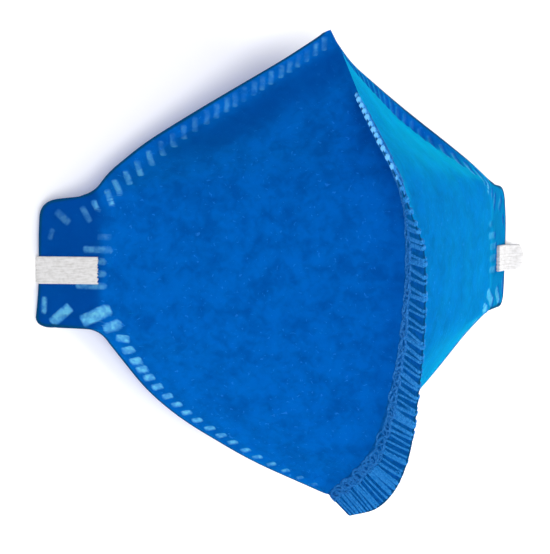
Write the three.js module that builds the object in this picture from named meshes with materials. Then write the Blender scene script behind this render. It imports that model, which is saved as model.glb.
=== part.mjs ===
// Folding respirator mask: two cup panels joined by an overlocked front seam, with one
// head elastic fixed to the side tabs. It stands on the rear edges of its tabs, front
// ridge up. Millimetres, +X to the wearer's left tab, +Y to the nose, +Z out of the face.
import * as THREE from 'three';

// ---- Driving dimensions -------------------------------------------------------------
const WALL = 1.5;              // layered nonwoven of a panel
const GAP = 0.3;               // clearance between pieces that touch on the real mask
const LONGEST_STEP = 7;        // longest facet along an outline
const BEND_STEPS = 3;          // facets in each bend of an outline
const PANEL_COLUMNS = 11;      // facets from rim to front seam
const CREASE_COLUMNS = 2;      // of these, how many lie in the nose band
const NOSE_BAND = 6;           // width of the band that is bent down along the nose edge
const CURL_REACH = 18;         // how far a bent edge reaches into the panel
const SHORT_ROW_SHARE = 0.15;  // most of a short row that one nose band column may take

const ALLOWANCE_WALL = 1.6;    // both seam allowances pressed together
const ALLOWANCE_COLUMNS = 3;   // facets across the seam allowance
const ALLOWANCE_STEP = 0.022;  // longest facet along it, as a share of the front seam
const TANGENT_REACH = 0.02;    // share of the seam over which its direction is taken
const RIDGE_CREST = 0.95;      // from a panel's mid surface to its crest at the seam
const LEAN_LIFT = 0.6;         // rise of a leaning allowance's foot, per half thickness

const BAND_WIDTH = 8;          // head elastic
const BAND_WALL = 1;
const BAND_Y = 1.8;            // middle of the elastic along Y
const BAND_SKEW = 1.5;         // how much nearer the chin it is at the left tab than at the right
const BAND_REACH = 18;         // length fixed to each tab's outer face
const BAND_SEAT = 0.3;         // from the tab's outer face to the elastic
const TAB_EDGE = 84.1;         // rear edge of each tab where the elastic presses it in
const TAB_COLUMN = 3;          // column of a panel that lies near the tab's neck
const FOLD_FACETS = 10;        // facets in each fold of the elastic

// Front seam, from nose to chin in the plane X = 0: corners and the length that each
// corner is rounded over on either side.
const SEAM = [
  { y: 71.6, z: 27.2, round: 0 },
  { y: 24.8, z: 65.6, round: 8 },
  { y: -5.7, z: 65.6, round: 14 },
  { y: -33.7, z: 58.5, round: 13 },
  { y: -51.7, z: 48.5, round: 8 },
  { y: -65.1, z: 27.4, round: 0 },
];

// Free edge of one panel, from nose round the tab to chin. seam is where the row of
// cloth that starts here meets the front seam, from 0 at the nose to 1 at the chin; lift is
// how far the cloth stands up at the nose band's crease; crown is how far it bows outwards;
// curl is how far the free edge itself is bent up.
const RIM = [
  { x: 1.2, y: 70.9, z: 26.5, seam: 0.000, lift: 0.0, crown: 0.0, curl: 0.0, round: 0 },
  { x: 14.0, y: 61.7, z: 19.6, seam: 0.061, lift: 1.8, crown: 0.4, curl: 0.0, round: 6 },
  { x: 36.0, y: 49.3, z: 13.2, seam: 0.152, lift: 1.8, crown: 1.0, curl: 0.0, round: 9 },
  { x: 52.5, y: 39.9, z: 9.9, seam: 0.222, lift: 0.8, crown: 1.6, curl: 0.0, round: 7 },
  { x: 66.0, y: 30.7, z: 9.8, seam: 0.273, lift: 0.0, crown: 1.8, curl: 0.0, round: 4 },
  { x: 72.2, y: 25.1, z: 11.4, seam: 0.298, lift: 0.0, crown: 1.8, curl: 0.0, round: 4 },
  { x: 84.2, y: 23.2, z: 1.8, seam: 0.331, lift: 0.0, crown: 1.5, curl: -0.6, round: 4.5 },
  { x: 85.8, y: 11.8, z: 1.0, seam: 0.430, lift: 0.0, crown: 1.5, curl: 0.9, round: 1.5 },
  { x: TAB_EDGE, y: 9.6, z: 2.2, seam: 0.442, lift: 0.0, crown: 1.5, curl: 0.0, round: 1 },
  { x: TAB_EDGE, y: -5.0, z: 2.2, seam: 0.543, lift: 0.0, crown: 1.5, curl: 0.0, round: 1 },
  { x: 85.9, y: -7.4, z: 0.9, seam: 0.560, lift: 0.0, crown: 1.5, curl: 0.7, round: 1.5 },
  { x: 85.5, y: -13.7, z: 0.5, seam: 0.632, lift: 0.0, crown: 1.5, curl: -0.6, round: 3.5 },
  { x: 71.0, y: -14.4, z: 11.8, seam: 0.653, lift: 0.0, crown: 1.8, curl: 0.0, round: 3.5 },
  { x: 64.9, y: -20.8, z: 10.3, seam: 0.683, lift: 0.0, crown: 1.8, curl: 0.0, round: 4 },
  { x: 52.6, y: -33.5, z: 9.3, seam: 0.756, lift: 0.0, crown: 1.5, curl: 0.0, round: 7 },
  { x: 40.5, y: -42.7, z: 10.6, seam: 0.808, lift: 0.0, crown: 1.0, curl: 0.0, round: 7 },
  { x: 20.4, y: -55.0, z: 16.8, seam: 0.908, lift: 0.0, crown: 0.5, curl: 0.0, round: 8 },
  { x: 1.2, y: -64.7, z: 26.4, seam: 1.000, lift: 0.0, crown: 0.0, curl: 0.0, round: 0 },
];

// Overlocked allowance: at is the place along the front seam, from 0 at the nose to 1 at
// the chin, width is how far it stands out, lean turns it towards +X in degrees, and swing
// turns it back along the seam towards the nose.
const ALLOWANCE = [
  { at: 0.121, width: 1.5, lean: -49, swing: 0 },
  { at: 0.176, width: 14, lean: -50, swing: 0 },
  { at: 0.316, width: 14, lean: -49, swing: 0 },
  { at: 0.364, width: 14, lean: -43, swing: 0 },
  { at: 0.407, width: 14, lean: -28, swing: 0 },
  { at: 0.450, width: 14, lean: -14, swing: 0 },
  { at: 0.571, width: 14, lean: -10, swing: 0 },
  { at: 0.693, width: 14, lean: -4, swing: 0 },
  { at: 0.796, width: 13.8, lean: 7, swing: 0 },
  { at: 0.869, width: 13.7, lean: 12, swing: 2 },
  { at: 0.929, width: 13.6, lean: 4, swing: 14 },
  { at: 1.000, width: 12.2, lean: -2, swing: 31 },
];

// Fold of the elastic round the rear edge of each tab: out is the pull of the fold
// beyond the point where the elastic leaves the tab, leave is that point's distance from
// the tab's edge, and slope is how steeply it leaves.
const FOLDS = {
  left: { out: 11.6, leave: 2.2, slope: 0.18 },
  right: { out: 1.3, leave: 0.1, slope: 0.75 },
};

// ---- Outlines -------------------------------------------------------------------------
function blendRows(a, b, share) {
  const row = {};
  for (const key of Object.keys(a)) {
    row[key] = THREE.MathUtils.lerp(a[key], b[key], share);
  }
  return row;
}

function distance(a, b) {
  return Math.hypot((a.x ?? 0) - (b.x ?? 0), a.y - b.y, a.z - b.z);
}

function pushStraight(rows, end) {
  const start = rows[rows.length - 1];
  const steps = Math.ceil(distance(start, end) / LONGEST_STEP);
  for (let step = 1; step <= steps; step += 1) {
    rows.push(blendRows(start, end, step / steps));
  }
}

// Turns a table of corners into rows along its outline, each corner becoming a parabola.
function bendCorners(table) {
  const rows = [table[0]];
  for (let i = 1; i < table.length - 1; i += 1) {
    const corner = table[i];
    const before = table[i - 1];
    const after = table[i + 1];
    const start = blendRows(corner, before, corner.round / distance(corner, before));
    const end = blendRows(corner, after, corner.round / distance(corner, after));
    pushStraight(rows, start);
    for (let step = 1; step <= BEND_STEPS; step += 1) {
      const share = step / BEND_STEPS;
      rows.push(blendRows(blendRows(start, corner, share), blendRows(corner, end, share), share));
    }
  }
  pushStraight(rows, table[table.length - 1]);
  return rows;
}

// ---- Front seam -----------------------------------------------------------------------
const seamCurve = new THREE.CurvePath();
const seamRows = bendCorners(SEAM);
for (let i = 1; i < seamRows.length; i += 1) {
  const from = seamRows[i - 1];
  const to = seamRows[i];
  seamCurve.add(new THREE.LineCurve3(
    new THREE.Vector3(0, from.y, from.z), new THREE.Vector3(0, to.y, to.z)));
}
function seamTangent(at) {
  const before = Math.max(at - TANGENT_REACH, 0);
  const after = Math.min(at + TANGENT_REACH, 1);
  return seamCurve.getPoint(after).sub(seamCurve.getPoint(before)).normalize();
}

// ---- Solids bent out of a box -----------------------------------------------------------
// place(column, row, side) gives the corner of the bent wall, side being +1 or -1.
function bentWall(columns, rows, place) {
  const geometry = new THREE.BoxGeometry(1, 1, 1, columns, rows, 1);
  const corners = geometry.attributes.position;
  for (let i = 0; i < corners.count; i += 1) {
    const column = Math.round((corners.getX(i) + 0.5) * columns);
    const row = Math.round((corners.getY(i) + 0.5) * rows);
    const side = Math.sign(corners.getZ(i));
    corners.setXYZ(i, ...place(column, row, side).toArray());
  }
  geometry.computeVertexNormals();
  return geometry;
}

// ---- Cup panels -------------------------------------------------------------------------
// Share of the way from rim to seam at a column. The first columns span the nose band.
function columnShare(column, rowLength) {
  const bandColumn = Math.min(column, CREASE_COLUMNS);
  const bandShare = Math.min(NOSE_BAND / CREASE_COLUMNS / rowLength, SHORT_ROW_SHARE);
  const plainColumns = PANEL_COLUMNS - CREASE_COLUMNS;
  const plainShare = Math.max(column - CREASE_COLUMNS, 0) / plainColumns;
  return THREE.MathUtils.lerp(bandColumn * bandShare, 1, plainShare);
}

function panelMiddle(row, column) {
  const seam = seamCurve.getPoint(row.seam);
  const rowLength = Math.hypot(row.x, row.y - seam.y, row.z - seam.z);
  const share = columnShare(column, rowLength);
  const crease = columnShare(CREASE_COLUMNS, rowLength);
  const lift = share < crease ? share / crease : (1 - share) / (1 - crease);
  return new THREE.Vector3(
    THREE.MathUtils.lerp(row.x, GAP / 2, share),
    THREE.MathUtils.lerp(row.y, seam.y, share),
    THREE.MathUtils.lerp(row.z, seam.z, share)
      + row.lift * lift + row.crown * 4 * share * (1 - share)
      + row.curl * Math.max(1 - share * rowLength / CURL_REACH, 0) ** 2);
}

const rimRows = bendCorners(RIM);
const panelGrid = rimRows.map(row => {
  const line = [];
  for (let column = 0; column <= PANEL_COLUMNS; column += 1) {
    line.push(panelMiddle(row, column));
  }
  return line;
});

function panelNormal(i, column) {
  const last = panelGrid.length - 1;
  const along = panelGrid[Math.min(i + 1, last)][column].clone()
    .sub(panelGrid[Math.max(i - 1, 0)][column]);
  const across = panelGrid[i][Math.min(column + 1, PANEL_COLUMNS)].clone()
    .sub(panelGrid[i][Math.max(column - 1, 0)]);
  return across.cross(along).normalize();
}

// The wall is offset square to the cloth at the rim and straight up at the seam, so that
// the panel ends in a flat face there; its thickness is the same either way.
function panelCorner(i, column, side) {
  const middle = panelGrid[i][column];
  const normal = panelNormal(i, column);
  const share = column / PANEL_COLUMNS;
  const square = normal.clone().multiplyScalar(WALL / 2);
  const upright = new THREE.Vector3(0, 0, WALL / 2 / normal.z);
  return middle.clone().addScaledVector(square.lerp(upright, share), side);
}

function panelGeometry(mirrored) {
  return bentWall(PANEL_COLUMNS, rimRows.length - 1, (column, row, side) => {
    const corner = panelCorner(row, mirrored ? PANEL_COLUMNS - column : column, side);
    if (mirrored) corner.x *= -1;
    return corner;
  });
}

// ---- Overlocked allowance -----------------------------------------------------------------
function allowanceRows() {
  const rows = [];
  for (let i = 1; i < ALLOWANCE.length; i += 1) {
    const start = ALLOWANCE[i - 1];
    const end = ALLOWANCE[i];
    const steps = Math.ceil((end.at - start.at) / ALLOWANCE_STEP);
    for (let step = 0; step < steps; step += 1) {
      rows.push(blendRows(start, end, step / steps));
    }
  }
  rows.push(ALLOWANCE[ALLOWANCE.length - 1]);
  return rows;
}

function allowanceGeometry() {
  const rows = allowanceRows();
  return bentWall(ALLOWANCE_COLUMNS, rows.length - 1, (column, i, side) => {
    const row = rows[i];
    const lean = THREE.MathUtils.degToRad(row.lean);
    const swing = THREE.MathUtils.degToRad(row.swing);
    const tangent = seamTangent(row.at);
    const outward = new THREE.Vector3(0, tangent.z, -tangent.y);
    const across = outward.clone().multiplyScalar(Math.cos(swing) * Math.cos(lean))
      .addScaledVector(tangent, -Math.sin(swing) * Math.cos(lean));
    across.x = Math.sin(lean);
    const face = across.clone().cross(tangent).normalize();
    const foot = RIDGE_CREST + GAP + LEAN_LIFT * Math.abs(Math.sin(lean)) * ALLOWANCE_WALL / 2;
    return seamCurve.getPoint(row.at)
      .addScaledVector(outward, foot)
      .addScaledVector(across, row.width * column / ALLOWANCE_COLUMNS)
      .addScaledVector(face, side * ALLOWANCE_WALL / 2);
  });
}

// ---- Head elastic ---------------------------------------------------------------------------
// The tab's outer face under the elastic, as height over X.
function tabFace() {
  const nearest = rimRows.reduce((best, row, i) => {
    const closer = Math.abs(row.y - BAND_Y) < Math.abs(rimRows[best].y - BAND_Y);
    return row.x > TAB_EDGE - GAP && closer ? i : best;
  }, 0);
  const edge = panelCorner(nearest, 0, 1);
  const inner = panelCorner(nearest, TAB_COLUMN, 1);
  return {
    edge: new THREE.Vector2(edge.x, edge.z),
    inward: new THREE.Vector2(inner.x - edge.x, inner.z - edge.z).normalize(),
  };
}

// One side of the elastic's middle line, from its end on the tab down to the floor.
function bandSide(fold) {
  const face = tabFace();
  const rise = new THREE.Vector2(-face.inward.y, face.inward.x).negate();
  const onFace = reach => face.edge.clone().addScaledVector(face.inward, reach)
    .addScaledVector(rise, BAND_SEAT + BAND_WALL / 2);
  const leave = onFace(fold.leave);
  const floor = new THREE.Vector2(TAB_EDGE - fold.leave, BAND_WALL / 2);
  const turn = new THREE.CubicBezierCurve(
    leave,
    leave.clone().add(new THREE.Vector2(fold.out, -fold.out * fold.slope)),
    floor.clone().add(new THREE.Vector2(fold.out, 0)),
    floor);
  return [onFace(BAND_REACH), ...turn.getPoints(FOLD_FACETS)];
}

function bandLine() {
  const right = bandSide(FOLDS.right).map(point => new THREE.Vector2(-point.x, point.y));
  return [...right, ...bandSide(FOLDS.left).reverse()];
}

function bandGeometry() {
  const line = bandLine();
  const offset = side => line.map((point, i) => {
    const before = line[Math.max(i - 1, 0)];
    const after = line[Math.min(i + 1, line.length - 1)];
    const along = after.clone().sub(before).normalize();
    return new THREE.Vector2(-along.y, along.x).multiplyScalar(side * BAND_WALL / 2).add(point);
  });
  const outline = new THREE.Shape([...offset(1), ...offset(-1).reverse()]);
  const geometry = new THREE.ExtrudeGeometry(outline, { depth: BAND_WIDTH, bevelEnabled: false });
  geometry.rotateX(Math.PI / 2);
  geometry.translate(0, BAND_Y + BAND_WIDTH / 2, 0);
  geometry.applyMatrix4(new THREE.Matrix4().makeShear(-BAND_SKEW / TAB_EDGE / 2, 0, 0, 0, 0, 0));
  return geometry;
}

// ---- Assembly ---------------------------------------------------------------------------------
const nonwoven = new THREE.MeshStandardMaterial({ color: 0x0a62c4, roughness: 0.9 });
const overlock = new THREE.MeshStandardMaterial({ color: 0x1b5fb4, roughness: 0.8 });
const knitted = new THREE.MeshStandardMaterial({ color: 0xe8e5e2, roughness: 0.85 });

function piece(name, geometry, material) {
  const mesh = new THREE.Mesh(geometry, material);
  mesh.name = name;
  return mesh;
}

const mask = new THREE.Group();
mask.add(piece('left_panel', panelGeometry(false), nonwoven));
mask.add(piece('right_panel', panelGeometry(true), nonwoven));
mask.add(piece('front_seam_allowance', allowanceGeometry(), overlock));
mask.add(piece('head_elastic', bandGeometry(), knitted));

export default mask;
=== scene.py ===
"""A folding respirator mask: the finish of its cloth, seam, weld marks and elastic.

+X is the wearer's left, +Y the nose and +Z out of the face. Tables and named sizes are in
millimetres, and MM turns them into metres where a mesh, camera or light is placed.
"""

import math
import random

import bmesh
import bpy
import numpy as np
from mathutils import Matrix, Vector, noise


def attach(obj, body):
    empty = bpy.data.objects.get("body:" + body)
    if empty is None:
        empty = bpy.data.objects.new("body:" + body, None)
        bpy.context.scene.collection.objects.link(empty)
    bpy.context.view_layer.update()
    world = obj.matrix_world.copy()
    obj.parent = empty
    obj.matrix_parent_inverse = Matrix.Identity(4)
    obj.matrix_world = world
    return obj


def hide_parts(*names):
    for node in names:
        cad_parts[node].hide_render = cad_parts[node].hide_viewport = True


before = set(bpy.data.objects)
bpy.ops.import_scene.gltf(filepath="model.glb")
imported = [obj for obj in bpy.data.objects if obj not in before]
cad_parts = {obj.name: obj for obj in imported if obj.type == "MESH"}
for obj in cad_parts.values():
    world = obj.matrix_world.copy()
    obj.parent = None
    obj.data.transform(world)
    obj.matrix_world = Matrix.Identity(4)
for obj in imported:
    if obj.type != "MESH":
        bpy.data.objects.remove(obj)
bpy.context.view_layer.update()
MM = 0.001


# ---- Tables and outlines -----------------------------------------------------------------
class Table:
    """Rows of numbers under named columns."""

    def __init__(self, columns, rows):
        self.columns = columns.split()
        self.rows = np.array(rows, dtype=float)

    def __getitem__(self, column):
        return self.rows[:, self.columns.index(column)]

    def points(self, *columns):
        return np.stack([self[column] for column in columns], axis=1)

    def at(self, column, value):
        """What this column holds where the first one has this value."""
        return np.interp(value, self.rows[:, 0], self[column])


def smoothstep(low, high, value):
    share = np.clip((value - low) / (high - low), 0, 1)
    return share * share * (3 - 2 * share)


def unit(vectors):
    return vectors / np.linalg.norm(vectors, axis=-1, keepdims=True)


def run_lengths(points):
    steps = np.linalg.norm(np.diff(points, axis=0), axis=1)
    return np.concatenate([[0], np.cumsum(steps)])


def resampled(rows, lengths, step):
    """Rows taken afresh about a step apart along their length."""
    even = np.linspace(0, lengths[-1], round(lengths[-1] / step) + 1)
    return np.stack([np.interp(even, lengths, column) for column in rows.T], axis=1)


def rounded(table, places, step):
    """A table's corners turned into parabolas over its round column, sampled evenly."""
    rows = [table.rows[0]]
    points = table.points(*places)
    for i in range(1, len(points) - 1):
        corner = table.rows[i]
        start, end = (
            corner + (table.rows[other] - corner) * table["round"][i]
            / np.linalg.norm(points[other] - points[i])
            for other in (i - 1, i + 1)
        )
        for share in np.linspace(0, 1, BEND_STEPS + 1):
            rows.append((1 - share) ** 2 * start + 2 * share * (1 - share) * corner + share**2 * end)
    rows.append(table.rows[-1])
    bent = Table(" ".join(table.columns), rows)
    bent.rows = resampled(bent.rows, run_lengths(bent.points(*places)), step)
    return bent


def eased(rows, reach, step):
    """Rows smoothed along their length over about a reach, with their ends kept."""
    half = round(3 * reach / step)
    weights = np.exp(-0.5 * (np.arange(-half, half + 1) * step / reach) ** 2)
    before = 2 * rows[0] - rows[half:0:-1]
    after = 2 * rows[-1] - rows[-2 : -half - 2 : -1]
    padded = np.concatenate([before, rows, after])
    return np.stack(
        [np.convolve(column, weights / weights.sum(), "valid") for column in padded.T], axis=1)


# ---- Driving dimensions --------------------------------------------------------------------
BEND_STEPS = 12        # facets in each bend of an outline
ROW_STEP = 0.6         # between rows of a panel, along its free edge
EDGE_COLUMNS = 30      # fine columns beside the free edge
EDGE_BAND = 15.0       # their width, along the rows
MOST_OF_A_ROW = 0.4    # share of a short row that they may take
PLAIN_COLUMNS = 52     # columns over the rest of a row
WALL = 1.5             # layered cloth of a panel
PRESSED_WALL = 0.9     # the same where it is pressed, at the edges and on the tabs
EDGE_DROP = 0.3        # how far the outer face falls at the cut edge
EDGE_PRESS = 1.6       # width of the pressed edge
SEAM_SLIT = 0.006      # half the slit between the panels at the front seam
CURL_REACH = 18.0      # how far the curl of a tab's corners reaches in
ROW_EASE = 5.0         # smoothing, along the free edge, of all that is not the edge itself
SOFT_REACH = 9.0       # smoothing between rows away from the edges
SOFT_FROM = (0.1, 0.45)      # shares of a row over which that starts
SOFT_TO = 0.1                # and the share before the seam over which it ends
CREASE_EASE = 0.12     # roundness of the nose band's crease
BAND_END = (56.0, 70.0)      # X over which the nose band fades out
BAND_SIDE = (0.85, 1.1)      # where its colour ends, as shares of its width
SEAM_STEP = 0.5        # between points of the front seam
SEAM_EASE = 2.5        # smoothing along it
SEAM_TURN = 1.4        # how far from the seam the cloth starts to turn up into it
SEAM_TURN_RISE = 0.8   # and how far up
DENT_SIZE = 11.0       # soft dents of the cloth: their size and depth
DENT_DEPTH = 0.35
RIPPLE_SIZE = 3.2      # and those of its fine ripples
RIPPLE_DEPTH = 0.06
DENT_FADE = 4.0        # how far from an edge the dents start
DENT_ON_TAB = 0.3      # share of their depth that is left on a tab
LEFT_DENTS = Vector((3.1, 0.7, 5.9))   # which dents a panel gets
LEFT_DENTED = 0.5      # share of their depth on the wearer's left panel
RIGHT_DENTS = Vector((8.3, 4.2, 1.6))
RIGHT_DENTED = 1.0

# Front seam from nose to chin.
SEAM = Table("y z round", [
    (71.2, 27.6, 0),
    (46.0, 46.0, 10),
    (24.6, 65.0, 8),
    (-5.7, 65.6, 14),
    (-33.7, 58.5, 13),
    (-51.7, 48.5, 8),
    (-64.8, 27.8, 0),
])

# Free edge of a panel from nose round the tab to chin. seam is where the row of cloth that
# starts here meets the front seam, band is the nose band's width along that row and drop how
# far the row sinks at the band's crease, crown is how far it bows out and curl is how far its
# end turns up.
RIM = Table("x y z seam band drop crown curl round", [
    (1.2, 70.5, 26.4, 0.000, 9.0, 0.0, 0.0, 0.0, 0),
    (14.0, 61.2, 19.5, 0.061, 9.6, 2.0, 0.6, 0.0, 6),
    (36.0, 48.8, 13.1, 0.152, 11.5, 4.6, 1.8, 0.0, 9),
    (52.5, 39.7, 9.9, 0.222, 12.7, 8.4, 2.6, 0.0, 7),
    (66.0, 30.5, 9.8, 0.273, 11.5, 3.6, 2.2, 0.0, 4),
    (72.2, 24.6, 11.4, 0.298, 9.0, 0.0, 1.8, 0.0, 4),
    (84.5, 22.3, 2.4, 0.342, 8.0, 0.0, 1.5, -0.6, 4.5),
    (85.1, 11.8, 2.0, 0.425, 8.0, 0.0, 1.5, 0.2, 4),
    (84.8, 2.0, 1.8, 0.495, 8.0, 0.0, 1.5, 0.0, 6),
    (85.0, -7.4, 1.2, 0.545, 8.0, 0.0, 1.5, 0.2, 4),
    (85.3, -13.7, 0.5, 0.596, 8.0, 0.0, 1.5, -0.6, 3.5),
    (70.4, -14.4, 11.2, 0.653, 8.0, 0.0, 1.8, 0.0, 4.5),
    (63.8, -20.8, 9.5, 0.683, 8.0, 0.0, 1.8, 0.0, 4),
    (51.6, -33.5, 8.5, 0.756, 8.0, 0.0, 1.5, 0.0, 7),
    (39.7, -42.7, 9.9, 0.808, 8.0, 0.0, 1.0, 0.0, 7),
    (20.2, -55.0, 16.5, 0.908, 8.0, 0.0, 0.5, 0.0, 8),
    (1.2, -64.7, 26.4, 1.000, 8.0, 0.0, 0.0, 0.0, 0),
])

# Seam allowance along the front seam: its width, its lean towards +X and its swing back
# towards the nose, in degrees.
ALLOWANCE = Table("at width lean swing", [
    (0.146, 1.5, -44, 0),
    (0.176, 14, -44, 0),
    (0.316, 14, -45, 0),
    (0.364, 14, -41, 0),
    (0.407, 14, -28, 0),
    (0.450, 14, -14, 0),
    (0.571, 14, -10, 0),
    (0.693, 14, -4, 0),
    (0.796, 14, 7, 0),
    (0.869, 14.2, 12, 2),
    (0.929, 14.4, 4, 14),
    (1.000, 12.7, -2, 31),
])
ALLOWANCE_WALL = 1.1   # its cloth, without the threads
ALLOWANCE_STEP = 0.45  # between its rows
ALLOWANCE_COLUMNS = 32
ALLOWANCE_EASE = 3.0   # smoothing along it
ALLOWANCE_FOOT = 1.15  # from the seam line to the allowance's foot
LEAN_LIFT = 0.48       # how far a leaning allowance's foot is raised
CHIN_SINK = 0.6        # how far it is lowered towards the chin, and over which shares
CHIN_SUNK = (0.78, 0.97)
EDGE_ROUND = 0.9       # how far from the free edge the wall starts to thin
THINNEST = 0.93        # how near it comes to a sharp edge there, as a share
ROUND_COLUMNS = 8      # columns over that stretch
SCALLOP = 0.12         # how far the cloth bulges between the threads
SCALLOP_EASE = 0.8
END_SHARE = 1.4        # the cut end's distance counts this many times the free edge's
THREAD_GROOVE = 0.2    # how far the threads sink in
GROOVE_EASE = 0.5

# Threads of the overlocked edge.
NEEDLE_LINE = 4.0      # from the foot of the allowance
THREAD = 1.25          # thickness of the fluffed thread, most of it sunk in the cloth
TURN_BULGE = 0.7       # how far it bulges at the free edge, as a share of how far it stands out
THREAD_SPREAD = 0.22   # unevenness of its thickness, as a share
STITCH_WANDER = 0.35   # unevenness of its ends, along the seam
FIRST_STITCH = 2.0     # from the allowance's end at the nose
LAST_STITCH = 0.5      # from its end at the chin, and how near that threads and loops reach
LAST_THREAD = 0.3
LAST_LOOP = 0.2

# Along the seam: the pitch of the stitches, how far each is slanted and how far every other
# one is turned towards its neighbour at the free edge, how far it stands out of the faces and
# how far at the free edge.
STITCHES = Table("at pitch slant pairing rise proud", [
    (0.12, 2.3, 0.3, 0.0, 0.00, 0.35),
    (0.38, 2.3, 0.5, 0.0, 0.00, 0.35),
    (0.46, 2.25, 1.0, 0.45, 0.20, 0.05),
    (0.50, 2.2, 0.9, 0.42, 0.25, 0.00),
    (0.57, 2.1, 0.8, 0.4, 0.25, 0.00),
    (0.65, 2.0, 0.5, 0.38, 0.22, -0.05),
    (0.72, 1.9, -0.7, 0.3, 0.20, -0.12),
    (0.80, 1.8, -1.8, 0.15, 0.18, -0.18),
    (0.90, 1.75, -2.0, 0.0, 0.16, -0.18),
    (1.00, 1.6, -0.3, 0.0, 0.16, -0.18),
])
EDGE_SLIP = 0.35       # how far a thread slips along the seam as it turns round the edge
LEG_SHARES = (0.0, 0.35, 0.7, 1.0)  # where a thread's path has its points
TURN_STEPS = 7         # steps of its turn round the edge
CHAIN_THREAD = 0.9     # thickness of the chain's thread
CHAIN_SPREAD = (0.6, 1.2)  # shares of it, from thin to thick
LOOP_STEPS = 14
LOOP_LONG = 2.3        # half the length of a chain loop
LOOP_WIDE = 2.2        # half its width, and the shares of that from narrow to wide
LOOP_SPREAD = (0.75, 1.15)
LOOP_NECK = 0.35       # share of its width near its start, where it is narrow
LOOP_RISE = 0.28       # how far its start stands out, and its head past that
LOOP_WANDER = 0.95     # unevenness of its place
LOOP_SHIFT = 1.1       # from the needle hole to its middle
LOOP_LINE = 2.6        # from the foot of the allowance to the middle of the chain
STITCHED_WIDTH = 12.0  # the least width of allowance that is stitched

# Weld marks along the line that runs round inside the free edge: how far apart they are,
# how far inside the line they lie, their size, their lean towards the chin in degrees and
# how pale they are, from the pressed film's own paler colour and a painted glint.
WELD_LINE_EASE = 4.0
WELD_LINE_INSET = 4.6  # from the free edge to the line
WELD_LINE_COLUMN = 4   # the column of a panel that gives the line its slope
WELD_RUNS = ((1.8, 76.0), (156.8, 229.0))  # where the marks start and stop along it
WELDS = Table("at pitch inset length width lean light", [
    (1.0, 3.0, -1.4, 4.4, 1.6, 38, 0.50),
    (30.0, 3.2, -1.5, 4.8, 1.7, 36, 0.34),
    (46.0, 4.0, -1.3, 4.8, 1.8, 30, 0.40),
    (60.0, 5.0, -0.4, 5.2, 1.7, 30, 0.60),
    (72.0, 5.2, 0.6, 6.0, 1.7, 35, 0.75),
    (81.0, 4.3, 0.7, 5.6, 1.7, 40, 0.80),
    (155.0, 4.6, -0.5, 4.0, 2.9, 5, 1.00),
    (163.0, 3.4, -1.2, 3.5, 2.7, 9, 1.00),
    (168.0, 4.0, -1.2, 3.4, 2.4, 12, 1.00),
    (184.0, 4.1, -1.3, 3.3, 1.8, 24, 1.00),
    (200.0, 4.3, -1.5, 3.3, 1.6, 35, 0.95),
    (214.0, 4.6, -1.9, 3.1, 1.5, 33, 0.90),
    (229.0, 4.8, -2.3, 2.0, 1.2, 33, 0.50),
])
WELD_DEPTH = 0.32
WELD_THROUGH = 0.4     # share of the depth that shows on the inner face
WELD_EASE = 0.3        # half the width of a mark's sloping side
WELD_CORNER = 0.55     # corner radius of a weld mark
WELD_FAR = 3.0         # value of the weld field away from any mark

# Weld marks on a tab: middle, length, width, turn from the X direction towards +Y in
# degrees, and paleness, from the pressed film's own paler colour and a painted glint.
TAB_WELDS = Table("x y length width turn light", [
    (65.7, 26.2, 6.0, 1.7, 74, 0.65),
    (68.7, 23.2, 5.0, 1.6, 66, 0.95),
    (71.4, 20.7, 3.9, 1.5, 60, 0.75),
    (74.0, 18.8, 5.2, 1.7, 55, 0.40),
    (79.6, 18.0, 5.2, 2.2, 36, 0.30),
    (82.3, 13.2, 1.4, 3.4, 12, 0.25),
    (70.6, 12.0, 4.0, 1.8, 0, 0.25),
    (72.2, 8.7, 8.6, 2.0, 0, 0.50),
    (72.2, 5.1, 8.6, 2.0, 0, 0.45),
    (72.2, 1.4, 8.6, 2.0, 0, 0.45),
    (72.2, -2.2, 9.2, 2.0, 0, 0.55),
    (83.5, -7.5, 1.5, 5.0, 0, 0.75),
    (79.5, -10.5, 7.4, 3.0, -36, 0.85),
    (72.0, -10.5, 9.2, 3.6, -22, 1.00),
    (67.7, -13.7, 5.4, 2.9, -22, 1.00),
    (64.0, -17.2, 3.9, 2.9, -26, 1.00),
])
TAB_START = 71.0       # the pressed tabs lie beyond this X
TAB_FADE = 2.6
TAB_DROP = 0.35        # how far the outer face of a tab is pressed in

# Shares of the deep colour that the cloth takes: a pressed tab's own colour, elsewhere painted shade.
DEEP_TAB = 0.6         # on the wearer's left tab
BAND_PAINTED_SHADE = 0.22       # painted shade on that panel's nose band
TURN_PAINTED_SHADE = 0.35       # painted shade on the right panel where it turns up into the seam
TURN_ZONE = (1.0, 9.0)       # distances from the seam over which that fades
ZONE_PAINTED_SHADE = 0.8        # painted shade on the right panel below its nose band
ZONE_START = (3.8, 8.6)      # distances from the free edge over which that starts
ZONE_END = (10.5, 23.0)      # and fades

# Paleness of the weld marks, and how wide the painted light on the right panel's nose band and the painted
# shade along the cut edge are.
PLAIN_BAND = 0.75      # share that the left panel's marks lose on its nose band
PLAIN_TAB = 0.45       # and on its tab, times its deep colour
PAINTED_LIGHT_BAND = (4.0, 5.8)     # distances from the free edge over which the painted light on the right panel's band ends
BARE_EDGE = (-10.0, -18.0)   # Y over which the painted shade along the left panel's cut edge grows wider, and its outer face stops falling there
EDGE_SHADE_SHARE = 0.55      # share by which distances from the edge are shortened past that, widening the painted shade
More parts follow.
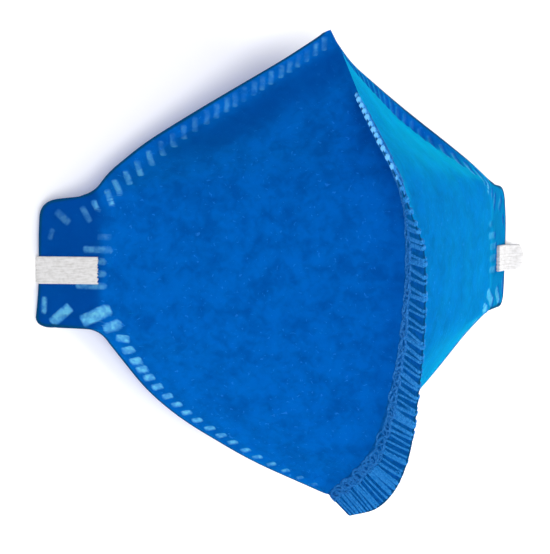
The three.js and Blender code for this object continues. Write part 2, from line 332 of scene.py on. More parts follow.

# Middle line of the elastic, seen along the nose direction, from one cut end under the cup
# to the other.
ELASTIC = Table("x z", [
    (-72.00, 13.30),
    (-83.60, 3.88),
    (-84.92, 2.82),
    (-85.42, 2.30),
    (-85.60, 1.80),
    (-85.45, 1.35),
    (-85.20, 1.00),
    (-84.80, 0.70),
    (-84.30, 0.55),
    (-83.80, 0.50),
    (81.90, 0.50),
    (85.07, 0.53),
    (87.62, 0.72),
    (89.90, 0.95),
    (91.50, 1.30),
    (92.40, 1.83),
    (92.10, 2.45),
    (90.90, 2.95),
    (88.70, 3.25),
    (86.20, 3.45),
    (84.60, 3.75),
    (82.60, 4.75),
    (77.20, 9.10),
])
ELASTIC_WIDTH = 8.0
ELASTIC_WALL = 1.0
ELASTIC_Y = 1.8        # its Y under the middle of the mask, and how that changes with X
ELASTIC_SKEW = -0.00892
ELASTIC_STEP = 0.5     # between points of its line, and smoothing along that
ELASTIC_EASE = 1.0
ELASTIC_COLUMNS = 56
CLOSER_SIDES = 0.35    # how much closer its columns lie at the sides, as a share
ELASTIC_RIBS = 7
RIB_DEPTH = 0.05
SIDE_ROUND = 0.35      # how far from its sides the band starts to thin
SIDE_THINNEST = 0.97   # how near they come to a sharp edge, as a share
CUT_WANDER = 0.25      # unevenness of its cut ends
CUT_REACH = 1.5        # how far from an end that reaches
LOOP_BOW = 1.6         # how far the sides draw back where the band loops past the left tab
LOOP_BOWED = (86.5, 91.0)


# ---- Camera ----------------------------------------------------------------------------------
CAMERA_TILT = math.radians(35)      # from straight above, towards -X
CAMERA_RISE = math.radians(3.3)     # from there towards the nose
CAMERA_DISTANCE = 1600 * MM
CAMERA_FIELD = 165 * MM             # width of the view at the mask
CAMERA_AIM = Vector((0.83, -2.49, -1.10)) * MM


def make_camera():
    data = bpy.data.cameras.new("camera")
    data.sensor_fit = "HORIZONTAL"
    data.lens = data.sensor_width * CAMERA_DISTANCE / CAMERA_FIELD
    camera = bpy.data.objects.new("camera", data)
    away = Vector((-math.sin(CAMERA_TILT) * math.cos(CAMERA_RISE), math.sin(CAMERA_RISE),
                   math.cos(CAMERA_TILT) * math.cos(CAMERA_RISE)))
    across = Vector((0, 1, 0)).cross(away).normalized()
    turn = Matrix((across, away.cross(across), away)).transposed().to_4x4()
    camera.matrix_world = Matrix.Translation(CAMERA_AIM + away * CAMERA_DISTANCE) @ turn
    bpy.context.collection.objects.link(camera)
    bpy.context.scene.camera = camera


make_camera()


# ---- Finishes ----------------------------------------------------------------------------------
class Value:
    """A shader socket that numbers and other sockets can be added to or multiplied by."""

    def __init__(self, finish, socket):
        self.finish = finish
        self.socket = socket

    def __add__(self, other):
        return self.finish.maths("ADD", self, other)

    def __sub__(self, other):
        return self.finish.maths("SUBTRACT", self, other)

    def __rsub__(self, other):
        return self.finish.maths("SUBTRACT", other, self)

    def __mul__(self, other):
        return self.finish.maths("MULTIPLY", self, other)

    def __truediv__(self, other):
        return self.finish.maths("DIVIDE", self, other)

    def __rtruediv__(self, other):
        return self.finish.maths("DIVIDE", other, self)

    __radd__ = __add__
    __rmul__ = __mul__


class Finish:
    """A procedural material, built up by adding nodes."""

    def __init__(self, name, coordinates="Object"):
        self.material = bpy.data.materials.new(name)
        self.material.use_nodes = True
        self.tree = self.material.node_tree
        self.surface = self.tree.nodes["Principled BSDF"]
        self.place = self.add("TexCoord", output=coordinates)

    def add(self, kind, output=0, settings=None, sockets=None):
        node = self.tree.nodes.new("ShaderNode" + kind)
        for key, setting in (settings or {}).items():
            setattr(node, key, setting)
        for key, value in (sockets or {}).items():
            self.join(node.inputs[key], value)
        return Value(self, node.outputs[output])

    def join(self, socket, value):
        if isinstance(value, Value):
            self.tree.links.new(value.socket, socket)
        else:
            socket.default_value = value

    def maths(self, operation, a, b):
        return self.add("Math", settings={"operation": operation}, sockets={0: a, 1: b})

    def step(self, value, low, high):
        """0 below low, 1 above high and smooth between them. low may be the greater."""
        return self.add("MapRange", settings={"interpolation_type": "SMOOTHSTEP"},
                        sockets={"Value": value, "From Min": low, "From Max": high})

    def mix(self, share, a, b):
        return self.add("Mix", output=2, settings={"data_type": "RGBA"},
                        sockets={0: share, 6: a, 7: b})

    def stretched(self, sizes, offset=(0, 0, 0)):
        """Coordinates in which a pattern's cells have these sizes in millimetres."""
        scale = [1 / (size * MM) for size in sizes]
        scaled = self.add("VectorMath", settings={"operation": "MULTIPLY"},
                          sockets={0: self.place, 1: scale})
        return self.add("VectorMath", settings={"operation": "ADD"}, sockets={0: scaled, 1: offset})

    def clouds(self, size, detail=2.0, kind="FBM", warp=0.0, offset=(0, 0, 0)):
        return self.add("TexNoise", settings={"noise_type": kind},
                        sockets={"Vector": self.stretched((size, size, size), offset), "Scale": 1.0,
                                 "Detail": detail, "Distortion": warp})

    def past(self, axis, stretch):
        """0 before this stretch of an axis, in millimetres, and 1 past it."""
        place = self.add("SeparateXYZ", output=axis, sockets={0: self.place})
        return self.step(place, stretch[0] * MM, stretch[1] * MM)

    def field(self, name):
        return self.add("Attribute", output="Fac", settings={"attribute_name": name})

    def bump(self, height, depth, strength=1.0):
        """A bump of this depth in millimetres."""
        self.surface_values(Normal=self.add("Bump", sockets={
            "Strength": strength, "Distance": depth * MM, "Height": height}))

    def paint_shade(self, share, shade):
        """Painted shade: a plain dull colour over this share of the surface."""
        plain = self.add("BsdfPrincipled", sockets={
            "Base Color": shade, "Roughness": 0.9, "Specular IOR Level": 0.02})
        whole = self.add("MixShader", sockets={0: share, 1: Value(self, self.surface.outputs[0]), 2: plain})
        self.join(self.tree.nodes["Material Output"].inputs["Surface"], whole)

    def surface_values(self, **values):
        for key, value in values.items():
            self.join(self.surface.inputs[key.replace("_", " ")], value)

    def give(self, piece):
        piece.data.materials.clear()
        piece.data.materials.append(self.material)


def colour(red, green, blue):
    return (red, green, blue, 1)


CLOTH = colour(0.000, 0.190, 0.690)
CLOTH_DEEP = colour(0.000, 0.126, 0.520)
CLOTH_PALE = colour(0.001, 0.290, 0.860)
# deep colour: a pressed tab's own, and painted shade elsewhere
CLOTH_PRESSED_AND_SHADE = colour(0.000, 0.084, 0.425)
# painted shade along the cut edges of the cloth
CLOTH_EDGE_SHADE = colour(0.003, 0.090, 0.210)
FLECK = colour(0.030, 0.330, 0.930)
# pressed film's paler colour with a painted glint
WELD_PALE_AND_GLINT = colour(0.250, 0.800, 1.000)
WELD_DEEP = colour(0.010, 0.320, 0.900)
SHEEN = colour(0.00, 0.83, 1.00)
THREAD_BEAD_HIGHLIGHT = colour(0.150, 0.520, 0.980)
OVERLOCKED = colour(0.002, 0.140, 0.530)
OVERLOCKED_DEEP = colour(0.000, 0.098, 0.410)
EDGE_THREAD = colour(0.034, 0.250, 0.650)
EDGE_THREAD_DEEP = colour(0.007, 0.150, 0.470)
CHAIN = colour(0.030, 0.200, 0.560)
CHAIN_DEEP = colour(0.005, 0.105, 0.360)
ELASTIC_PALE = colour(0.630, 0.625, 0.635)
ELASTIC_GREY = colour(0.470, 0.462, 0.460)
WHITE = colour(1, 1, 1)

# Places on the threads, in millimetres: the painted highlight on the beads past this X and Y,
# and the painted shade towards the chin.
BEAD_HIGHLIGHT_X = (-8.6, -9.6)
BEAD_HIGHLIGHT_Y = (18.0, 26.0)
CHIN_PAINTED_SHADE_Y = (-25.0, -55.0)


def nonwoven():
    finish = Finish("fused_nonwoven")
    blotches = finish.clouds(7.0, detail=2.0, warp=0.4)
    patches = finish.clouds(2.4, detail=2.0, warp=0.5, offset=(5.2, 1.3, 8.8))
    fibres = finish.clouds(1.5, detail=3.0, kind="RIDGED_MULTIFRACTAL", warp=1.6)
    fine = finish.clouds(0.45, detail=2.0, offset=(2.7, 9.1, 4.4))
    shade = finish.step(blotches * 0.6 + patches * 0.4, 0.28, 0.66)
    cloth = finish.mix(shade, CLOTH_DEEP, CLOTH)
    strands = finish.step(finish.clouds(3.0, detail=3.0, kind="RIDGED_MULTIFRACTAL", warp=0.8), 0.7, 1.5)
    cloth = finish.mix(strands * finish.step(patches, 0.35, 0.65) * 0.7, cloth, CLOTH_PALE)
    pale = finish.step(fibres * 0.6 + patches * 0.8, 0.55, 1.0)
    # painted light on the right panel's nose band
    cloth = finish.mix(finish.field("painted_light") * (pale * 0.55 + 0.2), cloth, CLOTH_PALE)
    flecks = finish.step(finish.clouds(1.1, detail=1.0, warp=0.6, offset=(4.1, 7.7, 0.9)), 0.66, 0.76)
    cloth = finish.mix(flecks * 0.45, cloth, FLECK)
    # the pressed tabs' own deeper colour, and painted shade on the nose bands, beside the seam and below
    # the right band
    deep = finish.field("deep") * (0.95 - strands * 0.3 - blotches * 0.15)
    cloth = finish.mix(deep, cloth, CLOTH_PRESSED_AND_SHADE)
    # weld marks: the pressed film's own paler colour with a painted glint
    mark = finish.step(finish.field("weld") + (patches - 0.5) * 0.5, 0.35, -0.35)
    dots = finish.add("TexVoronoi", settings={"feature": "F1"}, sockets={
        "Vector": finish.stretched((0.8, 0.8, 0.8)), "Scale": 1.0, "Randomness": 0.6})
    dots = finish.step(dots, 0.70, 0.25)
    glow = finish.step(finish.clouds(2.0, detail=1.0, offset=(1.7, 6.3, 2.2)), 0.38, 0.62)
    core = finish.step(finish.field("weld"), 0.1, -0.9)
    light = finish.field("light") * (glow * 0.25 + 0.75)
    fading = finish.step(finish.clouds(5.0, detail=1.0, offset=(8.4, 2.6, 5.5)), 0.36, 0.62)
    # weld marks fade where the painted light lies on the band
    light = light * (1 - finish.field("painted_light") * (1 - fading) * 0.8)
    welded = dots * 0.15 + glow * 0.3 + core * 0.35 + patches * 0.35
    welded = finish.mix(welded, WELD_DEEP, WELD_PALE_AND_GLINT)
    cloth = finish.mix(mark * light * 0.95, cloth, welded)
    finish.surface_values(
        Base_Color=cloth, Roughness=0.8 - mark * 0.3, Sheen_Weight=0.92, Sheen_Roughness=0.4,
        Sheen_Tint=SHEEN, Specular_IOR_Level=0.01)
    # painted shade along the cut edge, wider on the left panel's lower edge
    finish.paint_shade(finish.step(finish.field("rim"), 1.0, 0.4) * 0.85, CLOTH_EDGE_SHADE)
    finish.bump(fibres * 0.3 + patches * 0.7 + fine * 0.5 - dots * mark * 0.4, 0.13)
    return finish


def overlocked_cloth():
    finish = Finish("overlocked_cloth")
    patches = finish.clouds(2.0, detail=3.0, warp=1.0)
    fibres = finish.clouds(1.2, detail=3.0, kind="RIDGED_MULTIFRACTAL", warp=1.5)
    cloth = finish.mix(finish.step(patches, 0.35, 0.65), OVERLOCKED_DEEP, OVERLOCKED)
    cloth = finish.mix(finish.step(fibres, 0.6, 1.4) * 0.3, cloth, CLOTH)
    # painted shade along the allowance's free edge and its cut end
    cut = finish.step(finish.field("rim"), 0.9, 0.2)
    cloth = finish.mix(cut * 0.8, cloth, CLOTH_EDGE_SHADE)
    finish.surface_values(Base_Color=cloth, Roughness=0.8, Sheen_Weight=0.2,
                          Sheen_Roughness=0.5, Sheen_Tint=SHEEN, Specular_IOR_Level=0.03)
    finish.bump(fibres * 0.5 + patches * 0.6, 0.14)
    return finish


def thread_finish(name, deep, pale):
    finish = Finish(name)
    wisps = finish.clouds(0.7, detail=3.0, warp=0.8)
    shade = finish.mix(finish.step(wisps, 0.35, 0.65), deep, pale)
    # painted highlight on the edge-on beads near the nose
    bead_highlight = finish.past("X", BEAD_HIGHLIGHT_X) * finish.past("Y", BEAD_HIGHLIGHT_Y)
    shade = finish.mix(bead_highlight, shade, THREAD_BEAD_HIGHLIGHT)
    # painted shade on the threads towards the chin
    shade = finish.mix(finish.past("Y", CHIN_PAINTED_SHADE_Y) * 0.4, shade, deep)
    hairs = finish.clouds(0.25, detail=3.0, offset=(3.3, 1.9, 7.1))
    finish.surface_values(Base_Color=shade, Roughness=0.85, Specular_IOR_Level=0.03)
    finish.bump(wisps * 0.6 + hairs * 0.6, 0.2)
    return finish


def knitted_elastic():
    finish = Finish("knitted_elastic", coordinates="UV")
    wisps = finish.clouds(1.2, detail=3.0)
    lines = finish.add("TexNoise", sockets={
        "Vector": finish.stretched((0.45, 3.2, 1.0)), "Scale": 1.0, "Detail": 2.0})
    shade = finish.mix(finish.step(wisps * 0.4 + lines * 0.6, 0.30, 0.62), ELASTIC_GREY, ELASTIC_PALE)
    finish.surface_values(Base_Color=shade, Roughness=0.65, Sheen_Weight=0.1,
                          Specular_IOR_Level=0.3)
    finish.bump(lines * 0.7 + wisps * 0.3, 0.08)
    return finish


def pale_floor():
    finish = Finish("pale_floor")
    finish.surface_values(Base_Color=colour(0.93, 0.93, 0.93), Roughness=0.9, Specular_IOR_Level=0.1,
                          Emission_Color=WHITE, Emission_Strength=0.12)
    return finish


# ---- Meshes ------------------------------------------------------------------------------------
SHARP = math.radians(50)


def new_piece(name, mesh):
    piece = bpy.data.objects.new(name, mesh)
    bpy.context.collection.objects.link(piece)
    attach(piece, "root")
    return piece


def closed_wall(name, outer, inner, fields=None, uv=None):
    """A closed wall between two grids of corners. Each field is a grid of numbers that
    the corners of both faces carry, and uv is a pair of such grids."""
    rows, columns = outer.shape[0] - 1, outer.shape[1] - 1
    wall = bmesh.new()
    bmesh.ops.create_grid(wall, x_segments=columns, y_segments=rows, size=0.5)
    place = wall.verts.layers.int.new("place")
    for corner in wall.verts:
        row = round((corner.co.y + 0.5) * rows)
        column = round((corner.co.x + 0.5) * columns)
        corner[place] = row * (columns + 1) + column
    backs = bmesh.ops.extrude_face_region(wall, geom=wall.faces[:], use_keep_orig=True)
    backs = {part for part in backs["geom"] if isinstance(part, bmesh.types.BMVert)}
    layers = {key: wall.verts.layers.float.new(key) for key in fields or {}}
    flat_outer, flat_inner = outer.reshape(-1, 3), inner.reshape(-1, 3)
    flat_fields = {key: grid.reshape(-1) for key, grid in (fields or {}).items()}
    for corner in wall.verts:
        index = corner[place]
        corner.co = Vector((flat_inner if corner in backs else flat_outer)[index]) * MM
        for key, layer in layers.items():
            corner[layer] = flat_fields[key][index]
    if uv:
        across, along = (grid.reshape(-1) for grid in uv)
        layer = wall.loops.layers.uv.new("laid_flat")
        for face in wall.faces:
            for loop in face.loops:
                index = loop.vert[place]
                loop[layer].uv = (across[index] * MM, along[index] * MM)
    bmesh.ops.recalc_face_normals(wall, faces=wall.faces)
    for face in wall.faces:
        face.smooth = True
    for edge in wall.edges:
        edge.smooth = edge.calc_face_angle(0) < SHARP
    wall.verts.layers.int.remove(place)
    mesh = bpy.data.meshes.new(name)
    wall.to_mesh(mesh)
    wall.free()
    return new_piece(name, mesh)


def thread_piece(name, paths, thickness):
    """Round threads, each a path of points and its share of the thickness, as one mesh."""
    curve = bpy.data.curves.new(name, "CURVE")
    curve.dimensions = "3D"
    curve.bevel_depth = thickness / 2 * MM
    curve.bevel_resolution = 1
    curve.use_fill_caps = True
    for path, share in paths:
        spline = curve.splines.new("POLY")
        spline.points.add(len(path) - 1)
        for point, place in zip(spline.points, path):
            point.co = (*(place * MM), 1)
            point.radius = share
    drawn = bpy.data.objects.new(name, curve)
    bpy.context.collection.objects.link(drawn)
    graph = bpy.context.evaluated_depsgraph_get()
    mesh = bpy.data.meshes.new_from_object(drawn.evaluated_get(graph))
    bpy.data.objects.remove(drawn)
    bpy.data.curves.remove(curve)
    mesh.name = name
    for face in mesh.polygons:
        face.use_smooth = True
    return new_piece(name, mesh)


# ---- Elastic -----------------------------------------------------------------------------------
def make_elastic():
    route = ELASTIC.points("x", "z")
    route = resampled(route, run_lengths(route), ELASTIC_STEP)
    route = eased(route, ELASTIC_EASE, ELASTIC_STEP)
    along = run_lengths(route)
    line = np.stack([route[:, 0], ELASTIC_Y + ELASTIC_SKEW * route[:, 0], route[:, 1]], axis=1)
    forward = unit(np.gradient(line, axis=0))
    upward = unit(np.cross(forward, [0, 1, 0]))
    across = np.cross(upward, forward)
    sides = np.sin(np.linspace(-math.pi / 2, math.pi / 2, ELASTIC_COLUMNS + 1))
    sides = CLOSER_SIDES * sides + (1 - CLOSER_SIDES) * np.linspace(-1, 1, ELASTIC_COLUMNS + 1)
    sides = 0.5 * ELASTIC_WIDTH * sides
    from_side = ELASTIC_WIDTH / 2 - abs(sides)
    thinning = np.sqrt(1 - np.clip(1 - from_side / SIDE_ROUND, 0, SIDE_THINNEST) ** 2)
    ribs = np.cos(2 * math.pi * ELASTIC_RIBS * (sides / ELASTIC_WIDTH + 0.5))
    half = thinning * (ELASTIC_WALL / 2 - RIB_DEPTH / 2 * (1 + ribs))
    wander = random.Random(4)
    ends = np.array([wander.uniform(-1, 1) for _ in sides]) * CUT_WANDER
    near_end = np.minimum(along, along[-1] - along)[:, None]
    outward = np.where(along < along[-1] / 2, 1, -1)[:, None]
    slip = ends[None] * np.maximum(1 - near_end / CUT_REACH, 0) * outward
    middle = line[:, None] + across[:, None] * sides[None, :, None] + forward[:, None] * slip[..., None]
    bow = LOOP_BOW * (2 * sides[None] / ELASTIC_WIDTH) ** 2
    middle[..., 0] -= bow * smoothstep(*LOOP_BOWED, line[:, :1])
    bulge = upward[:, None] * half[None, :, None]
    flat = np.broadcast_to(sides, slip.shape), np.broadcast_to(along[:, None], slip.shape)
    band = closed_wall("head_elastic_band", middle + bulge, middle - bulge, uv=flat)
    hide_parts("head_elastic")
    knitted_elastic().give(band)


make_elastic()


# ---- Front seam --------------------------------------------------------------------------------
seam_table = rounded(SEAM, ("y", "z"), SEAM_STEP)
seam_points = eased(seam_table.points("y", "z"), SEAM_EASE, SEAM_STEP)
seam_points = np.insert(seam_points, 0, 0, axis=1)
seam_lengths = run_lengths(seam_points)
SEAM_LENGTH = seam_lengths[-1]


def along_rows(rows, lengths, at):
    """Rows taken at these lengths."""
    return np.stack([np.interp(at, lengths, column) for column in rows.T], axis=-1)


# ---- Cup panels --------------------------------------------------------------------------------
def rise_to(shares, crest, ease):
    """0 at both ends of a row and 1 at the crest, where it is rounded."""
    a, b = shares / crest, (1 - shares) / (1 - crest)
    return (a + b - np.sqrt((a - b) ** 2 + ease**2)) / 2 + ease / 4


def row_shares(lengths):
    """Share of the way from free edge to seam of every corner, closer at the edge."""
    edge = np.minimum(EDGE_BAND / lengths, MOST_OF_A_ROW)[:, None]
    fine = edge * np.arange(EDGE_COLUMNS) / EDGE_COLUMNS
    plain = edge + (1 - edge) * np.arange(PLAIN_COLUMNS + 1) / PLAIN_COLUMNS
    return np.concatenate([fine, plain], axis=1)


class Panel:
    """The middle surface of the cup panel at +X, as a grid of rows from edge to seam."""

    def __init__(self):
        rim = rounded(RIM, ("x", "y", "z"), ROW_STEP)
        self.rim = rim.points("x", "y", "z")
        rim.rows[:, 3:] = eased(rim.rows[:, 3:], ROW_EASE, ROW_STEP)
        seam = along_rows(seam_points, seam_lengths, rim["seam"] * SEAM_LENGTH)
        seam[:, 0] = SEAM_SLIT
        lengths = np.linalg.norm(self.rim - seam, axis=1)[:, None]
        self.shares = row_shares(lengths[:, 0])
        self.seam_distance = (1 - self.shares) * lengths
        crease = np.minimum(rim["band"][:, None] / lengths, MOST_OF_A_ROW)
        far = smoothstep(*BAND_END, self.rim[:, :1]) + (self.rim[:, 1:2] < 0)
        self.nose = 1 - np.minimum(far, 1)
        start, end = (part * crease for part in BAND_SIDE)
        self.band = (1 - smoothstep(start, end, self.shares)) * self.nose
        share = self.shares[..., None]
        straight = self.rim[:, None] * (1 - share) + seam[:, None] * share
        straight[..., 2] += self._rise(rim, lengths, crease)
        self.middle = self._softened(straight)
        self.rim_distance = self._rim_distance()
        down, inward = np.gradient(self.middle, axis=0), np.gradient(self.middle, axis=1)
        self.normal = unit(np.cross(inward, down))
        upright = self.normal * np.array([0, 1, 1])
        upright /= (upright**2).sum(axis=-1, keepdims=True)
        self.offset = self.normal * (1 - share) + upright * share

    def _rise(self, rim, lengths, crease):
        """How far every corner lies above its straight row."""
        rise = -rim["drop"][:, None] * rise_to(self.shares, crease, CREASE_EASE)
        rise += rim["crown"][:, None] * 4 * self.shares * (1 - self.shares)
        rise += rim["curl"][:, None] * np.maximum(1 - self.shares * lengths / CURL_REACH, 0) ** 2
        turn = np.exp(-self.seam_distance / SEAM_TURN)
        return rise + SEAM_TURN_RISE * turn * np.minimum(lengths / EDGE_BAND, 1)

    def _softened(self, grid):
        """The grid, smoothed from row to row away from its edges."""
        share = self.shares[..., None]
        soft = np.stack([eased(grid[..., axis], SOFT_REACH, ROW_STEP) for axis in range(3)], axis=-1)
        softness = smoothstep(*SOFT_FROM, share) * smoothstep(0, SOFT_TO, 1 - share)
        return grid * (1 - softness) + soft * softness

    def _rim_distance(self):
        """Straight distance of every corner to the free edge."""
        points = self.middle.reshape(-1, 3)
        nearest = [np.sqrt(((point - self.rim) ** 2).sum(axis=1).min()) for point in points]
        return np.array(nearest).reshape(self.shares.shape)


panel = Panel()


def weld_marks():
    """Every weld mark of a panel: its middle, its two directions, its size and paleness."""
    line = eased(panel.rim, WELD_LINE_EASE, ROW_STEP)
    along = unit(np.gradient(line, axis=0))
    normal = unit(eased(panel.normal[:, WELD_LINE_COLUMN], WELD_LINE_EASE, ROW_STEP))
    inward = unit(np.cross(along, normal))
    line = eased(line + inward * WELD_LINE_INSET, WELD_LINE_EASE / 2, ROW_STEP)
    lengths = run_lengths(line)
    marks = []
    for at, last in WELD_RUNS:
        while at < last:
            i = int(np.searchsorted(lengths, at))
            lean = math.radians(WELDS.at("lean", at))
            long = inward[i] * math.cos(lean) + along[i] * math.sin(lean)
            wide = along[i] * math.cos(lean) - inward[i] * math.sin(lean)
            middle = line[i] + inward[i] * WELDS.at("inset", at)
            size = [WELDS.at(key, at) for key in ("length", "width", "light")]
            marks.append((middle, long, wide, *size))
            at += WELDS.at("pitch", at)
    points, normals = panel.middle.reshape(-1, 3), panel.normal.reshape(-1, 3)
    for x, y, length, width, turn, light in TAB_WELDS.rows:
        i = ((points[:, :2] - (x, y)) ** 2).sum(axis=1).argmin()
        turn = math.radians(turn)
        wide = np.cross(normals[i], [math.cos(turn), math.sin(turn), 0])
        long = unit(np.cross(wide, normals[i]))
        marks.append((points[i], long, np.cross(normals[i], long), length, width, light))
    return marks


def weld_fields(points, marks):
    """Distance of every point to the outline of the nearest mark, less than 0 inside it,
    and how pale that mark is."""
    field = np.full(len(points), WELD_FAR)
    lights = np.zeros(len(points))
    for middle, long, wide, length, width, light in marks:
        offset = points - middle
        near = np.flatnonzero((offset**2).sum(axis=1) < (length / 2 + WELD_FAR) ** 2)
        past_end = abs(offset[near] @ long) - length / 2 + WELD_CORNER
        past_side = abs(offset[near] @ wide) - width / 2 + WELD_CORNER
        outside = np.hypot(np.maximum(past_end, 0), np.maximum(past_side, 0))
        inside = np.minimum(np.maximum(past_end, past_side), 0)
        distance = outside + inside - WELD_CORNER
        closer = distance < field[near]
        field[near[closer]] = distance[closer]
        lights[near[closer]] = light
    return field, lights


def clouds(points, size, shift):
    """Smooth noise from about -1 to 1 with features of this size."""
    return np.array([noise.noise(Vector(point) / size + shift) for point in points])


def panel_faces(field, tab, below, bend):
    """The outer and the inner face of a panel, from its weld field, its tab, the part of its
    edge that isn't pressed and its dents."""
    pressed = np.maximum(tab, 1 - smoothstep(0, EDGE_PRESS, panel.rim_distance))
    edge = np.maximum(1 - panel.rim_distance / EDGE_PRESS, 0) ** 2 * (1 - below)
    mark = WELD_DEPTH * (1 - smoothstep(-WELD_EASE, WELD_EASE, field))
    top = WALL / 2 - EDGE_DROP * edge - TAB_DROP * tab * (1 - edge) - mark + bend
    bottom = top + mark * (1 - WELD_THROUGH) - (WALL + (PRESSED_WALL - WALL) * pressed)
    return [panel.middle + panel.offset * height[..., None] for height in (top, bottom)]


def left_shades(tab, lights):
    """How deep the left panel is coloured, from its pressed tab and from painted shade on its nose band,
    and how pale its marks are, with no painted light on its band.
    """
    deep = tab * DEEP_TAB + panel.band * BAND_PAINTED_SHADE
    lights = lights * (1 - PLAIN_BAND * panel.band) * (1 - PLAIN_TAB * deep)
    return {"deep": deep, "light": lights, "painted_light": 0 * tab}


def right_shades(tab, lights):
    # painted shade beside the seam and below the nose band, over the pressed tab's own deep colour
    turn = 1 - smoothstep(*TURN_ZONE, panel.seam_distance)
    zone = smoothstep(*ZONE_START, panel.rim_distance) * (1 - smoothstep(*ZONE_END, panel.rim_distance))
    deep = np.max([tab, TURN_PAINTED_SHADE * turn, ZONE_PAINTED_SHADE * zone * panel.nose], axis=0)
    # painted light on the nose band near its free edge
    painted_light = (1 - smoothstep(*PAINTED_LIGHT_BAND, panel.rim_distance)) * panel.nose
    return {"deep": deep, "light": lights, "painted_light": painted_light}


def make_panel(name, node, side, dents, dented):
    """The cup panel on one side, 1 for the wearer's left, with dents of its own."""
    grid = panel.shares.shape
    points = panel.middle.reshape(-1, 3)
    field, lights = (values.reshape(grid) for values in weld_fields(points, weld_marks()))
    tab = smoothstep(TAB_START - TAB_FADE / 2, TAB_START + TAB_FADE / 2, panel.middle[..., 0])
    below = smoothstep(*BARE_EDGE, panel.middle[..., 1]) * (side > 0)
    free = smoothstep(0, DENT_FADE, panel.rim_distance) * smoothstep(0, DENT_FADE, panel.seam_distance)
    bend = DENT_DEPTH * clouds(points, DENT_SIZE, dents) + RIPPLE_DEPTH * clouds(points, RIPPLE_SIZE, dents)
    bend = bend.reshape(grid) * free * (1 - (1 - DENT_ON_TAB) * tab) * dented
    outer, inner = panel_faces(field, tab, below, bend)
    for corners in (outer, inner):
        corners[..., 0] = np.maximum(corners[..., 0], SEAM_SLIT) * side
    shades = left_shades(tab, lights) if side > 0 else right_shades(tab, lights)
    # distances that place the painted shade at the cut edge, shortened where that shade widens
    cut = panel.rim_distance * (1 - EDGE_SHADE_SHARE * below)
    piece = closed_wall(name, outer, inner, {"weld": field, "rim": cut, **shades})
    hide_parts(node)
    cloth_finish.give(piece)


cloth_finish = nonwoven()
make_panel("left_cup_panel", "left_panel", 1, LEFT_DENTS, LEFT_DENTED)
make_panel("right_cup_panel", "right_panel", -1, RIGHT_DENTS, RIGHT_DENTED)


# ---- Seam allowance ----------------------------------------------------------------------------
class Allowance:
    """Where anything on the seam allowance goes, by its length along the seam, its width
    out from the foot and its height over the middle of the wall, towards -X."""

    def __init__(self):
        first, last = (share * SEAM_LENGTH for share in (ALLOWANCE["at"][0], ALLOWANCE["at"][-1]))
        self.along = np.linspace(first, last, round((last - first) / ALLOWANCE_STEP) + 1)
        table = along_rows(ALLOWANCE.rows[:, 1:], ALLOWANCE["at"] * SEAM_LENGTH, self.along)
        table = eased(table, ALLOWANCE_EASE, ALLOWANCE_STEP)
        self.widths = table[:, 0]
        lean, swing = np.radians(table[:, 1:2]), np.radians(table[:, 2:3])
        forward = unit(np.gradient(seam_points, axis=0))
        forward = unit(along_rows(forward, seam_lengths, self.along))
        outward = np.stack([0 * self.along, forward[:, 2], -forward[:, 1]], axis=1)
        across = (outward * np.cos(swing) - forward * np.sin(swing)) * np.cos(lean)
        across[:, 0] = np.sin(lean[:, 0])
        self.across = across
        self.face = unit(np.cross(across, forward))
        self.face *= -np.sign(self.face[:, :1])
        foot = ALLOWANCE_FOOT + LEAN_LIFT * abs(np.sin(lean))
        foot -= CHIN_SINK * smoothstep(*CHIN_SUNK, self.along[:, None] / SEAM_LENGTH)
        self.feet = along_rows(seam_points, seam_lengths, self.along) + outward * foot

    def width(self, along):
        return np.interp(along, self.along, self.widths)

    def places(self, along, width, height):
        along, width, height = np.broadcast_arrays(along, width, height)
        foot, across, face = (
            along_rows(rows, self.along, along) for rows in (self.feet, self.across, self.face))
        return foot + across * width[..., None] + face * height[..., None]


allowance = Allowance()


class Stitch:
    """One leg of overlock thread: its ends at the needle line and at the free edge, how far
    it stands out and how thick it is."""

    def __init__(self, number, along, scatter):
        share = along / SEAM_LENGTH
        pairing = STITCHES.at("pairing", share) * (1 if number % 2 == 0 else -1)
        self.needle = along + scatter.uniform(-1, 1) * STITCH_WANDER
        edge = along + STITCHES.at("slant", share) + pairing
        edge += scatter.uniform(-0.5, 0.5) * STITCH_WANDER
        self.edge = min(edge, allowance.along[-1] - LAST_THREAD)
        self.rise, self.proud = STITCHES.at("rise", share), STITCHES.at("proud", share)
        self.thickness = 1 + scatter.uniform(-1, 1) * THREAD_SPREAD


def stitches():
    scatter = random.Random(6)
    along = allowance.along[0] + FIRST_STITCH
    found = []
    while along < allowance.along[-1] - LAST_STITCH:
        found.append(Stitch(len(found), along, scatter))
        along += STITCHES.at("pitch", along / SEAM_LENGTH)
    return found


legs = stitches()


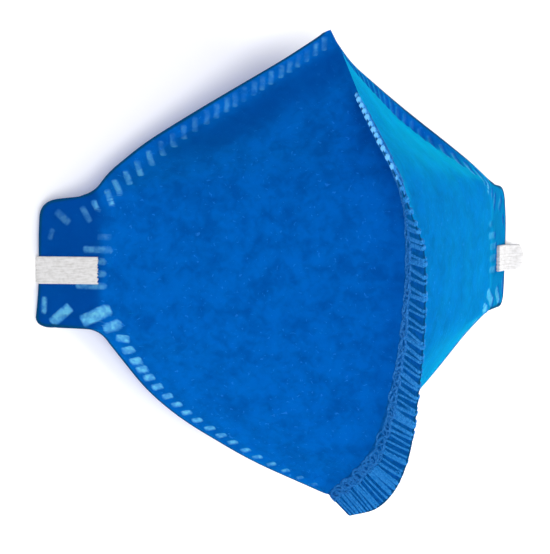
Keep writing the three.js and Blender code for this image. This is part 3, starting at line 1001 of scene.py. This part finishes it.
def make_allowance():
    along = allowance.along[:, None]
    full = allowance.widths[:, None]
    nearest = np.min([abs(along - leg.edge) for leg in legs], axis=0)
    full = full - SCALLOP * np.exp(-((nearest / SCALLOP_EASE) ** 2))
    plain = np.linspace(0, 1, ALLOWANCE_COLUMNS + 1)[:-1]
    turn = np.sin(np.linspace(0, math.pi / 2, ROUND_COLUMNS + 1))
    rounding = np.minimum(EDGE_ROUND / full, 0.5)
    shares = np.concatenate([plain * (1 - rounding), 1 - rounding + rounding * turn], axis=1)
    width = shares * full
    thinning = np.clip(1 - (full - width) / EDGE_ROUND, 0, THINNEST)
    half = ALLOWANCE_WALL / 2 * np.sqrt(1 - thinning**2)
    groove = np.zeros(width.shape)
    share = np.clip((width - NEEDLE_LINE) / (full - NEEDLE_LINE), 0, 1)
    for leg in legs:
        centre = leg.needle + (leg.edge - leg.needle) * share
        groove = np.maximum(groove, np.exp(-(((along - centre) / GROOVE_EASE) ** 2)))
    half = half - THREAD_GROOVE * groove * smoothstep(NEEDLE_LINE - 1, NEEDLE_LINE, width)
    faces = [allowance.places(along, width, height) for height in (half, -half)]
    from_cut = np.minimum(full - width, END_SHARE * (allowance.along[-1] - along))
    piece = closed_wall("seam_allowance", *faces, {"rim": from_cut})
    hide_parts("front_seam_allowance")
    overlocked_cloth().give(piece)
    return piece


def leg_paths():
    """Each thread from the needle line over the free edge and back on the other face."""
    paths = []
    turn = np.linspace(math.pi / 2, -math.pi / 2, TURN_STEPS)[1:-1]
    for leg in legs:
        full = float(allowance.width(leg.edge)) - SCALLOP / 2
        if full < STITCHED_WIDTH:
            continue
        half = ALLOWANCE_WALL / 2 + leg.rise - THREAD / 2
        around = EDGE_ROUND + leg.proud - THREAD / 2
        bulge = TURN_BULGE * max(leg.proud, 0)
        near = [(leg.needle + (leg.edge - leg.needle) * share,
                 NEEDLE_LINE + (full - EDGE_ROUND - NEEDLE_LINE) * share) for share in LEG_SHARES]
        path = [(*spot, half) for spot in near]
        path += [(leg.edge - EDGE_SLIP * (1 - math.sin(t)), full - EDGE_ROUND + around * math.cos(t),
                  half * math.sin(t) + bulge * math.sin(2 * t)) for t in turn]
        path += [(along - 2 * EDGE_SLIP, width, -half) for along, width in reversed(near)]
        paths.append((allowance.places(*np.array(path).T), leg.thickness))
    return paths


def chain_paths():
    """Loops of the needle chain on both faces, each lying over the one before."""
    paths = []
    scatter = random.Random(9)
    turn = np.linspace(0, 2 * math.pi, LOOP_STEPS + 1)
    bulb = 0.5 * (1 - np.cos(turn))
    for leg in legs[:-1]:
        if float(allowance.width(leg.needle)) < STITCHED_WIDTH:
            continue
        for side in (1, -1):
            wide = LOOP_WIDE * scatter.uniform(*LOOP_SPREAD)
            along = leg.needle + LOOP_SHIFT - LOOP_LONG * np.cos(turn)
            along = along + scatter.uniform(-1, 1) * LOOP_WANDER
            along = np.minimum(along, allowance.along[-1] - LAST_LOOP)
            width = LOOP_LINE + wide * np.sin(turn) * (LOOP_NECK + (1 - LOOP_NECK) * bulb)
            width = width + scatter.uniform(-1, 1) * LOOP_WANDER * bulb
            height = ALLOWANCE_WALL / 2 - CHAIN_THREAD / 2 + LOOP_RISE * (1 + bulb)
            path = allowance.places(along, width, side * height)
            paths.append((path, scatter.uniform(*CHAIN_SPREAD)))
    return paths


def make_overlock():
    cloth = make_allowance()
    threads = thread_piece("overlock_threads", leg_paths(), THREAD)
    chain = thread_piece("needle_chain", chain_paths(), CHAIN_THREAD)
    thread_finish("overlock_thread", EDGE_THREAD_DEEP, EDGE_THREAD).give(threads)
    thread_finish("needle_thread", CHAIN_DEEP, CHAIN).give(chain)


make_overlock()


# ---- Floor and light ---------------------------------------------------------------------------
def make_floor():
    floor = bmesh.new()
    bmesh.ops.create_grid(floor, x_segments=1, y_segments=1, size=1.5)
    mesh = bpy.data.meshes.new("floor")
    floor.to_mesh(mesh)
    floor.free()
    piece = bpy.data.objects.new("floor", mesh)
    bpy.context.collection.objects.link(piece)
    pale_floor().give(piece)


def area_light(name, direction, distance, size, power):
    data = bpy.data.lights.new(name, "AREA")
    data.shape = "DISK"
    data.size = size
    data.energy = power
    light = bpy.data.objects.new(name, data)
    direction = Vector(direction).normalized()
    light.matrix_world = (Matrix.Translation(direction * distance)
                          @ direction.to_track_quat("Z", "Y").to_matrix().to_4x4())
    bpy.context.collection.objects.link(light)


def make_light():
    area_light("key", (0.80, -0.40, 0.52), 1.5, 1.0, 19.5)
    area_light("fill", (-0.50, -0.15, 0.85), 1.6, 1.0, 15)
    world = bpy.data.worlds.new("studio")
    world.use_nodes = True
    world.node_tree.nodes["Background"].inputs["Color"].default_value = WHITE
    world.node_tree.nodes["Background"].inputs["Strength"].default_value = 0.6
    bpy.context.scene.world = world
    bpy.context.scene.view_settings.view_transform = "Standard"


make_floor()
make_light()
